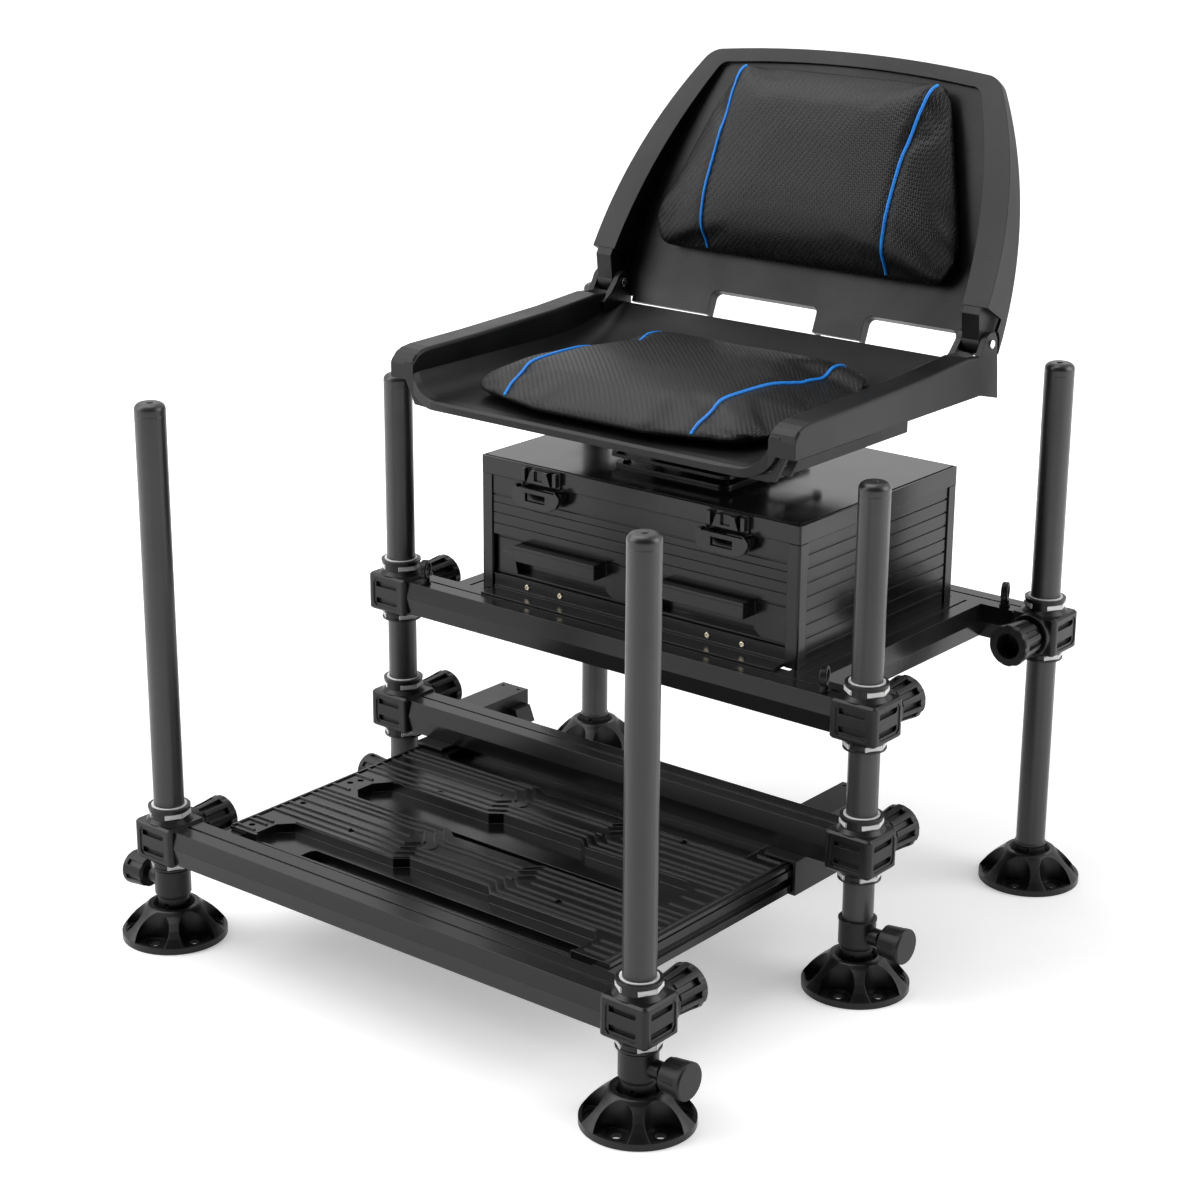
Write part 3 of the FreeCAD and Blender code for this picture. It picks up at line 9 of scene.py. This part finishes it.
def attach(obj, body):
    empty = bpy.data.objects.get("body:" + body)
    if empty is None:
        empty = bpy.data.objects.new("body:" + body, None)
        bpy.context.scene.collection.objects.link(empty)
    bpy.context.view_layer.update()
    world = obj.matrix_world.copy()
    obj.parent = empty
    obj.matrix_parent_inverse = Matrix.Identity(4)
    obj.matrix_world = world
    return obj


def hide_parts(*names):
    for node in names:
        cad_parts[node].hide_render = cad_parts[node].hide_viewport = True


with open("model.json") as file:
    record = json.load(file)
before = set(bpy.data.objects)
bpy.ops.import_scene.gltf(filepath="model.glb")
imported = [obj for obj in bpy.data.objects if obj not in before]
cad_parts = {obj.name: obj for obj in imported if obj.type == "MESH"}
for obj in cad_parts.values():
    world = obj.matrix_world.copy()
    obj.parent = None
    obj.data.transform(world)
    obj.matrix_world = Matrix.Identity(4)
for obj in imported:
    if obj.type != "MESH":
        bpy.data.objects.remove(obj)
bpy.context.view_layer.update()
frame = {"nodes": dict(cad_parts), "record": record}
nodes = frame["nodes"]

# The part's own places, in metres

ORIGIN_Y = 0.00597
LEAN = math.radians(29.8)
RIM = Vector((0, 0.252 - ORIGIN_Y, 0.586))
UP_BACK = Vector((0, math.sin(LEAN), math.cos(LEAN)))
INTO_BACK = Vector((0, math.cos(LEAN), -math.sin(LEAN)))
DOWN = Vector((0, 0, -1))
MM_PER_METRE = 1000


def on_back(x, up, depth):
    """A point given square on to the backrest's rim."""
    return RIM + Vector((x, 0, 0)) + UP_BACK * up + INTO_BACK * depth


# Shader helpers

EDGE_RADIUS = 0.0009
EDGE_SAMPLES = 4
NOISE_RANGE = (0.3, 0.7)


def new_material(name, rough=0.5, metal=0.0, shine=0.5):
    mat = bpy.data.materials.new(name)
    mat.use_nodes = True
    shader = mat.node_tree.nodes["Principled BSDF"]
    shader.inputs["Roughness"].default_value = rough
    shader.inputs["Metallic"].default_value = metal
    shader.inputs["Specular IOR Level"].default_value = shine
    return mat, mat.node_tree, shader


def add(tree, kind, **values):
    """A new node with its settings and plain socket values."""
    node = tree.nodes.new(kind)
    for key, value in values.items():
        if hasattr(node, key):
            setattr(node, key, value)
        else:
            node.inputs[key].default_value = value
    return node


def math_node(tree, kind, a, b=None):
    node = tree.nodes.new("ShaderNodeMath")
    node.operation = kind
    for slot, value in ((0, a), (1, b)):
        if value is None:
            continue
        if isinstance(value, (int, float)):
            node.inputs[slot].default_value = value
        else:
            tree.links.new(value, node.inputs[slot])
    return node.outputs[0]


def remap(tree, value, before, after, shape="LINEAR"):
    """Maps the range before on to the range after, and holds at its ends."""
    node = tree.nodes.new("ShaderNodeMapRange")
    node.interpolation_type = shape
    for socket, number in zip(("From Min", "From Max", "To Min", "To Max"), (*before, *after)):
        node.inputs[socket].default_value = number
    tree.links.new(value, node.inputs["Value"])
    return node.outputs["Result"]


def mixed(tree, factor, first, second):
    """Mixes two colours, each given as three numbers or as a socket."""
    mix = tree.nodes.new("ShaderNodeMix")
    mix.data_type = "RGBA"
    for socket, colour in (("A", first), ("B", second)):
        if isinstance(colour, (tuple, list)):
            mix.inputs[socket].default_value = (*colour, 1)
        else:
            tree.links.new(colour, mix.inputs[socket])
    tree.links.new(factor, mix.inputs["Factor"])
    return mix.outputs["Result"]


def object_space(tree, scale=(1, 1, 1), turn=(0, 0, 0)):
    where = tree.nodes.new("ShaderNodeTexCoord")
    fit = tree.nodes.new("ShaderNodeMapping")
    fit.inputs["Scale"].default_value = scale
    fit.inputs["Rotation"].default_value = turn
    tree.links.new(where.outputs["Object"], fit.inputs["Vector"])
    return fit.outputs["Vector"]


def noise(tree, where, scale, detail=4.0, rough=0.6):
    node = add(tree, "ShaderNodeTexNoise", Scale=scale, Detail=detail, Roughness=rough)
    tree.links.new(where, node.inputs["Vector"])
    return node.outputs["Fac"]


def bump(tree, shader, height, depth, strength, edge=0.0):
    """Raises the height on the surface, with edges shaded as if rounded by a radius."""
    node = add(tree, "ShaderNodeBump", Strength=strength, Distance=depth)
    tree.links.new(height, node.inputs["Height"])
    if edge > 0:
        rounded = add(tree, "ShaderNodeBevel", samples=EDGE_SAMPLES, Radius=edge)
        tree.links.new(rounded.outputs["Normal"], node.inputs["Normal"])
    tree.links.new(node.outputs["Normal"], shader.inputs["Normal"])


# Materials: noise in the object's own space drives tone, roughness and grain

SLOW_SCALE = 14
SLOW_DETAIL = 5
GRAIN_DETAIL = 3
# Painted highlight: sharp edges, picked out by pointiness, get a lighter copy of the surface colour
PAINTED_HIGHLIGHT_EDGES = (0.52, 0.62)
PAINTED_HIGHLIGHT_MOST = 0.6
PAINTED_HIGHLIGHT_GAIN = 2.2
PAINTED_HIGHLIGHT_LIFT = 0.01
ROUGH_SWING = 0.06


def grained(name, colour, rough, grain=900, depth=0.0002, strength=0.25, vary=0.25, metal=0.0,
            stretch=(1, 1, 1), shine=0.3):
    """A moulded, coated or plated surface: fine grain, slow tone changes and painted highlights
    along sharp edges.
    """
    mat, tree, shader = new_material(name, rough, metal, shine)
    where = object_space(tree, stretch)
    slow = noise(tree, where, SLOW_SCALE, SLOW_DETAIL)
    fine = noise(tree, where, grain, GRAIN_DETAIL)
    # Painted highlight: where the surface is pointed, at sharp edges, the colour is mixed towards a
    # lighter copy
    pointed = tree.nodes.new("ShaderNodeNewGeometry").outputs["Pointiness"]
    painted_highlight_mask = remap(tree, pointed, PAINTED_HIGHLIGHT_EDGES, (0, PAINTED_HIGHLIGHT_MOST))
    dark = [c * (1 - vary) for c in colour]
    light = [c * (1 + vary) for c in colour]
    painted_highlight_colour = [min(1, c * PAINTED_HIGHLIGHT_GAIN + PAINTED_HIGHLIGHT_LIFT) for c in colour]
    tone = mixed(tree, painted_highlight_mask, mixed(tree, slow, dark, light), painted_highlight_colour)
    tree.links.new(tone, shader.inputs["Base Color"])
    swing = remap(tree, slow, NOISE_RANGE, (rough - ROUGH_SWING, rough + ROUGH_SWING))
    tree.links.new(swing, shader.inputs["Roughness"])
    bump(tree, shader, fine, depth, strength, EDGE_RADIUS)
    return mat


WEAVE_CELL = 0.0016
TWILL_REPEAT = 4
TWILL_OVER = 2
UNDER_HEIGHT = 0.7
THREAD_LIGHT = 2.4
THREAD_SHARE = 0.75
WEAVE_ROUGH = 0.5
THREAD_SMOOTHER = 0.14
WEAVE_DEPTH = 0.0005
WEAVE_STRENGTH = 0.5


def ridge(tree, value):
    """A rounded ridge across each cell."""
    turned = math_node(tree, "MULTIPLY", math_node(tree, "FRACT", value), math.pi)
    return math_node(tree, "SINE", turned)


def woven(name, turn, colour):
    """Vinyl embossed as a twill: threads pass over two and under two, a step on in each row."""
    mat, tree, shader = new_material(name, 0.42, shine=0.3)
    where = object_space(tree, (1 / WEAVE_CELL,) * 3, turn)
    split = tree.nodes.new("ShaderNodeSeparateXYZ")
    tree.links.new(where, split.inputs[0])
    u = split.outputs["X"]
    v = split.outputs["Y"]
    cells = math_node(tree, "ADD", math_node(tree, "FLOOR", u), math_node(tree, "FLOOR", v))
    step = math_node(tree, "FLOORED_MODULO", cells, TWILL_REPEAT)
    over = math_node(tree, "LESS_THAN", step, TWILL_OVER)
    lifted = math_node(tree, "MULTIPLY", ridge(tree, u), over)
    under = math_node(tree, "MULTIPLY", ridge(tree, v), math_node(tree, "SUBTRACT", 1.0, over))
    height = math_node(tree, "ADD", lifted, math_node(tree, "MULTIPLY", under, UNDER_HEIGHT))
    slow = noise(tree, object_space(tree), 25, 4)
    light = [min(1, c * THREAD_LIGHT) for c in colour]
    by_thread = math_node(tree, "MULTIPLY", over, THREAD_SHARE)
    tone = math_node(tree, "ADD", by_thread, math_node(tree, "MULTIPLY", slow, 1 - THREAD_SHARE))
    tree.links.new(mixed(tree, tone, colour, light), shader.inputs["Base Color"])
    smoother = math_node(tree, "MULTIPLY", over, THREAD_SMOOTHER)
    rough = math_node(tree, "SUBTRACT", WEAVE_ROUGH, smoother)
    tree.links.new(rough, shader.inputs["Roughness"])
    bump(tree, shader, height, WEAVE_DEPTH, WEAVE_STRENGTH)
    return mat


TUBE = grained("tube_satin_grey", (0.016, 0.016, 0.0165), rough=0.33, grain=1500, depth=0.0001,
               strength=0.12, vary=0.15, shine=0.5)
RAIL = grained("rail_satin_black", (0.004, 0.004, 0.0042), rough=0.2, grain=1200, depth=0.0001,
               strength=0.08, vary=0.2, stretch=(0.1, 1, 1), shine=0.28)
CLAMP = grained("clamp_moulding", (0.006, 0.006, 0.0063), rough=0.3, grain=1600, strength=0.22)
MOULDING = grained("black_moulding", (0.006, 0.006, 0.0063), rough=0.34, grain=1400)
KNOB = grained("knob_moulding", (0.01, 0.01, 0.0105), rough=0.42, grain=1400, strength=0.3)
LINER = grained("white_liner", (0.75, 0.75, 0.74), rough=0.4, grain=1200, depth=0.0001,
                strength=0.15, vary=0.05, shine=0.4)
CASE = grained("case_black", (0.004, 0.004, 0.0042), rough=0.22, grain=1300, depth=0.0001,
               strength=0.15)
GLOSS = grained("lid_gloss_black", (0.006, 0.006, 0.0064), rough=0.14, grain=300, depth=0.00005,
                strength=0.05, shine=0.5)
DRAWER = grained("drawer_black", (0.003, 0.003, 0.0032), rough=0.22, grain=1300, depth=0.0001,
                 strength=0.15, shine=0.28)
DARK_STEEL = grained("blackened_steel", (0.006, 0.006, 0.0063), rough=0.26, depth=0.0001,
                     strength=0.2, metal=0.2, shine=0.4)
BRIGHT = grained("bright_plated", (0.75, 0.75, 0.76), rough=0.25, depth=0.00005, strength=0.1,
                 vary=0.06, metal=1.0)
SHELL = grained("seat_shell", (0.0045, 0.0045, 0.0047), rough=0.38, grain=1300, depth=0.0003,
                strength=0.35, shine=0.25)
DECK = grained("deck_moulding", (0.004, 0.004, 0.0042), rough=0.2, grain=1200, depth=0.0001,
               strength=0.15, shine=0.4)
SEAT_WEAVE = woven("seat_weave", (0, 0, 0), (0.0035, 0.0035, 0.0038))
BACK_WEAVE = woven("back_weave", (math.pi / 2 - LEAN, 0, 0), (0.0025, 0.0025, 0.0027))
BRASS = grained("brass_plated", (0.8, 0.68, 0.45), rough=0.25, depth=0.00005, strength=0.1,
                vary=0.06, metal=1.0)
PIPING = grained("blue_piping", (0.01, 0.2, 0.75), rough=0.4, depth=0.0001, strength=0.2,
                 vary=0.1)

FINISH = {
    "leg_tube": TUBE, "rail": RAIL, "clamp": CLAMP, "moulding": MOULDING, "knob": KNOB,
    "liner": LINER, "case": CASE, "lid_panel": GLOSS, "drawer": DRAWER,
    "dark_steel": DARK_STEEL, "bright_steel": BRIGHT, "seat_shell": SHELL, "vinyl": SEAT_WEAVE}


def paint(obj, mat):
    obj.data.materials.clear()
    obj.data.materials.append(mat)


slots = {s["node"]: s["material_slot"] for s in frame["record"]["subparts"]}
for node_name, node in nodes.items():
    paint(node, FINISH[slots[node_name]])
paint(nodes["footplate_deck"], DECK)
paint(nodes["box_screws"], BRASS)


# Mesh helpers

def apply_modifiers(obj):
    graph = bpy.context.evaluated_depsgraph_get()
    made = bpy.data.meshes.new_from_object(obj.evaluated_get(graph))
    obj.modifiers.clear()
    obj.data = made


def shade_smooth(obj):
    for face in obj.data.polygons:
        face.use_smooth = True


def subdivided(obj):
    sub = obj.modifiers.new("subdivision", "SUBSURF")
    sub.levels = 1
    sub.render_levels = 1
    apply_modifiers(obj)
    shade_smooth(obj)


def surface_of(obj):
    corners = [v.co.copy() for v in obj.data.vertices]
    return BVHTree.FromPolygons(corners, [p.vertices[:] for p in obj.data.polygons])


def smooth_path(points, steps=12):
    """Points along a Catmull-Rom curve through the given ones."""
    out = []
    ends = [points[0]] + points + [points[-1]]
    for a, b, c, d in zip(ends, ends[1:], ends[2:], ends[3:]):
        for i in range(steps):
            t = i / steps
            out.append(0.5 * ((2 * b) + (c - a) * t + (2 * a - 5 * b + 4 * c - d) * t * t
                              + (3 * b - a - 3 * c + d) * t ** 3))
    out.append(points[-1].copy())
    return out


# Cushions: a copy of the solid is drawn in a little, remeshed, blown up as cloth and sewn down

VOXEL = 0.005
INSET = 0.004
PUFF_CAP = 0.007
CLOTH_STEPS = 20
CLOTH_PRESSURE = 4
CLOTH_MASS = 0.3
CLOTH_TENSION = 15
SMOOTH_TIMES = 6
SMOOTH_FACTOR = 0.5


def blow_up(pad, holds):
    """Runs the pad as cloth under pressure, with the held points kept in place."""
    group = pad.vertex_groups.new(name="held")
    for v in pad.data.vertices:
        if holds(v.co):
            group.add([v.index], 1.0, "REPLACE")
    cloth = pad.modifiers.new("cloth", "CLOTH")
    cloth.settings.use_pressure = True
    cloth.settings.uniform_pressure_force = CLOTH_PRESSURE
    cloth.settings.mass = CLOTH_MASS
    cloth.settings.tension_stiffness = CLOTH_TENSION
    cloth.settings.vertex_group_mass = "held"
    cloth.settings.effector_weights.gravity = 0
    scene = bpy.context.scene
    for step in range(1, CLOTH_STEPS + 1):
        scene.frame_set(step)
    apply_modifiers(pad)
    scene.frame_set(1)


def padded_cover(name, source, holds):
    data = nodes[source].data.copy()
    pad = bpy.data.objects.new(name, data)
    bpy.context.scene.collection.objects.link(pad)
    bpy.context.view_layer.objects.active = pad
    remesh = pad.modifiers.new("remesh", "REMESH")
    remesh.mode = "VOXEL"
    remesh.voxel_size = VOXEL
    shrink = pad.modifiers.new("shrink", "DISPLACE")
    shrink.strength = -INSET
    shrink.mid_level = 0
    apply_modifiers(pad)
    start = [v.co.copy() for v in pad.data.vertices]
    blow_up(pad, holds)
    for v, was in zip(pad.data.vertices, start):
        moved = v.co - was
        if moved.length > PUFF_CAP:
            v.co = was + moved * (PUFF_CAP / moved.length)
    smooth = pad.modifiers.new("smooth", "SMOOTH")
    smooth.iterations = SMOOTH_TIMES
    smooth.factor = SMOOTH_FACTOR
    apply_modifiers(pad)
    shade_smooth(pad)
    return pad


SEAT_SEAM_Z = 0.522
BACK_PAD_TOP = 0.262
PANEL_DEPTH = 0.0044
PANEL_SLOPE = 0.1441
BACK_SEAM = 0.010


def seat_hold(co):
    return co.z < SEAT_SEAM_Z


def back_hold(co):
    """Holds what lies near the backrest's panel, which is deeper behind the rim lower down."""
    rel = co - RIM
    up = rel.dot(UP_BACK)
    depth = rel.dot(INTO_BACK)
    panel = PANEL_DEPTH + (BACK_PAD_TOP - up) * PANEL_SLOPE
    return depth > panel - BACK_SEAM


# Piping: blue cord laid along two sewn lines on each cushion, in millimetres on its own face

SEAT_LINE = [(-113, -46), (-115, -25), (-117, 0), (-119, 60), (-119, 120), (-116, 190), (-111, 240)]
BACK_LINE = [(-119, 254), (-116, 210), (-113, 150), (-113, 90), (-112, 45)]
ABOVE_SEAT = 0.56
BEFORE_BACK = -0.03
RAY_START = 0.12
CHANNEL_DEPTH = 0.0025
CHANNEL_WIDTH = 0.005
CHANNEL_REACH = 3
FRONT_FACING = 0.2
PIPING_RADIUS = 0.0017
PIPING_LIFT = 0.0008


def both_sides(line):
    return [line, [(-x, along) for x, along in line]]


def tube(name, points, radius, mat, body):
    curve = bpy.data.curves.new(name, "CURVE")
    curve.dimensions = "3D"
    curve.bevel_depth = radius
    curve.bevel_resolution = 4
    curve.use_fill_caps = True
    line = curve.splines.new("POLY")
    line.points.add(len(points) - 1)
    for place, point in zip(line.points, points):
        place.co = (*point, 1)
    obj = bpy.data.objects.new(name, curve)
    bpy.context.scene.collection.objects.link(obj)
    curve.materials.append(mat)
    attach(obj, body)


def laid_on(tree, points, direction, lift):
    """The points dropped along a direction onto a surface, and lifted back by a little."""
    down = direction.normalized()
    found = []
    for point in points:
        hit = tree.ray_cast(point - down * RAY_START, down)
        if hit[0] is not None:
            found.append(hit[0] - down * lift)
    return found


def press_channel(pad, points, direction, depth, width):
    """Draws the cover in along a sewn line."""
    down = direction.normalized()
    flat = [p - down * p.dot(down) for p in points]
    for v in pad.data.vertices:
        spot = v.co - down * v.co.dot(down)
        near = min((spot - p).length for p in flat)
        if near < width * CHANNEL_REACH and v.normal.dot(down) < FRONT_FACING:
            v.co += down * depth * math.exp(-(near / width) ** 2)


def on_seat(x, y):
    return Vector((x / MM_PER_METRE, y / MM_PER_METRE - ORIGIN_Y, ABOVE_SEAT))


def before_back(x, up):
    return on_back(x / MM_PER_METRE, up / MM_PER_METRE, BEFORE_BACK)


seat_pad = padded_cover("seat_cushion_cover", "seat_cushion", seat_hold)
back_pad = padded_cover("back_cushion_cover", "back_cushion", back_hold)
seat_paths = [[on_seat(x, y) for x, y in line] for line in both_sides(SEAT_LINE)]
back_paths = [[before_back(x, up) for x, up in line] for line in both_sides(BACK_LINE)]
for pad, paths, way, body, mat, label in (
        (seat_pad, seat_paths, DOWN, "seat", SEAT_WEAVE, "seat"),
        (back_pad, back_paths, INTO_BACK, "backrest", BACK_WEAVE, "back")):
    lines = [smooth_path(path) for path in paths]
    for line in lines:
        press_channel(pad, line, way, CHANNEL_DEPTH, CHANNEL_WIDTH)
    subdivided(pad)
    paint(pad, mat)
    surface = surface_of(pad)
    for side, line in zip(("left", "right"), lines):
        route = laid_on(surface, line, way, PIPING_LIFT)
        tube(label + "_piping_" + side, route, PIPING_RADIUS, PIPING, body)
    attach(pad, body)
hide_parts("seat_cushion")
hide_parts("back_cushion")


# Floor: it grows brighter away from the object, so it runs into the white background

FLOOR_SIZE = 30
FLOOR_DROP = 0.0005
FLOOR_TONES = ((0.86, 0.86, 0.86), (0.88, 0.88, 0.88))
GLOW_DISTANCE = (0.5, 1.8)
GLOW = (0.36, 1.0)


def seen_directly(tree):
    """One for camera, glossy and see-through rays, and zero for light that falls on things."""
    path = tree.nodes.new("ShaderNodeLightPath")
    camera = path.outputs["Is Camera Ray"]
    through = path.outputs["Is Transmission Ray"]
    seen = math_node(tree, "MAXIMUM", camera, through)
    return math_node(tree, "MAXIMUM", seen, path.outputs["Is Glossy Ray"])


def make_floor():
    bpy.ops.mesh.primitive_grid_add(x_subdivisions=8, y_subdivisions=8, size=FLOOR_SIZE,
                                    location=(0, 0, -FLOOR_DROP))
    floor = bpy.context.object
    floor.name = "floor"
    mat, tree, shader = new_material("floor_white", rough=0.8, shine=0.1)
    tone = mixed(tree, noise(tree, object_space(tree), 3), *FLOOR_TONES)
    tree.links.new(tone, shader.inputs["Base Color"])
    shader.inputs["Emission Color"].default_value = (1, 1, 1, 1)
    away = tree.nodes.new("ShaderNodeVectorMath")
    away.operation = "LENGTH"
    tree.links.new(object_space(tree), away.inputs[0])
    glow = remap(tree, away.outputs["Value"], GLOW_DISTANCE, GLOW, "SMOOTHSTEP")
    strength = math_node(tree, "MULTIPLY", seen_directly(tree), glow)
    tree.links.new(strength, shader.inputs["Emission Strength"])
    paint(floor, mat)


# World: white to the camera, and a room that is dark behind the viewer to light and reflections

DARK_SIDE = (0.6, -0.78, 0.1)
ROOM_TURN = (-0.05, 0.8)
ROOM_LIGHT = (1.0, 0.04)
SOFT_LIGHT = 0.35
GLOSSY_EXTRA = 0.65


def make_world():
    world = bpy.data.worlds.new("studio")
    bpy.context.scene.world = world
    world.use_nodes = True
    tree = world.node_tree
    back = tree.nodes["Background"]
    back.inputs["Color"].default_value = (1, 1, 1, 1)
    where = tree.nodes.new("ShaderNodeTexCoord").outputs["Generated"]
    toward = tree.nodes.new("ShaderNodeVectorMath")
    toward.operation = "DOT_PRODUCT"
    toward.inputs[1].default_value = DARK_SIDE
    tree.links.new(where, toward.inputs[0])
    room = remap(tree, toward.outputs["Value"], ROOM_TURN, ROOM_LIGHT, "SMOOTHSTEP")
    path = tree.nodes.new("ShaderNodeLightPath")
    camera = path.outputs["Is Camera Ray"]
    through = path.outputs["Is Transmission Ray"]
    plain = math_node(tree, "MAXIMUM", camera, through)
    glossy = math_node(tree, "MULTIPLY", path.outputs["Is Glossy Ray"], GLOSSY_EXTRA)
    lit = math_node(tree, "MULTIPLY", math_node(tree, "ADD", glossy, SOFT_LIGHT), room)
    tree.links.new(math_node(tree, "MAXIMUM", plain, lit), back.inputs["Strength"])


# Camera: the photo's own view, from a fit to the frame's right angles and level lines

CAMERA_PLACE = (1.5445, -1.9402 - ORIGIN_Y, 1.1568)
CAMERA_YAW = math.radians(38.87)
CAMERA_PITCH = math.radians(18.475)
CAMERA_ROLL = math.radians(0.368)
SENSOR_MM = 36
LENS_MM = 79.485


def make_camera():
    level = math.cos(CAMERA_PITCH)
    look = Vector((-math.sin(CAMERA_YAW) * level, math.cos(CAMERA_YAW) * level,
                   -math.sin(CAMERA_PITCH)))
    right = Vector((math.cos(CAMERA_YAW), math.sin(CAMERA_YAW), 0))
    up = right.cross(look)
    across = right * math.cos(CAMERA_ROLL) + up * math.sin(CAMERA_ROLL)
    upward = up * math.cos(CAMERA_ROLL) - right * math.sin(CAMERA_ROLL)
    data = bpy.data.cameras.new("camera")
    data.sensor_width = SENSOR_MM
    data.lens = LENS_MM
    camera = bpy.data.objects.new("camera", data)
    rows = [(a, u, -l, place) for a, u, l, place in zip(across, upward, look, CAMERA_PLACE)]
    camera.matrix_world = Matrix((*rows, (0, 0, 0, 1)))
    bpy.context.scene.collection.objects.link(camera)
    bpy.context.scene.camera = camera


# Lamps: two soft sides and one overhead, with sizes in metres and powers in watts

def lamp(name, place, target, size, power):
    light = bpy.data.lights.new(name, "AREA")
    light.shape = "RECTANGLE"
    light.size, light.size_y = size
    light.energy = power
    obj = bpy.data.objects.new(name, light)
    obj.location = place
    turn = (Vector(target) - Vector(place)).to_track_quat("-Z", "Y")
    obj.rotation_euler = turn.to_euler()
    bpy.context.scene.collection.objects.link(obj)


make_floor()
make_world()
make_camera()
lamp("right", place=(2.26, 1.16, 1.5), target=(0, 0, 0.4), size=(2.0, 2.2), power=50)
lamp("left", place=(-1.9, -1.8, 1.7), target=(0, 0, 0.4), size=(2.0, 2.2), power=43)
lamp("over", place=(-0.9, -0.3, 3.0), target=(0, 0, 0.3), size=(2.6, 2.6), power=62)
bpy.context.scene.view_settings.view_transform = "Standard"
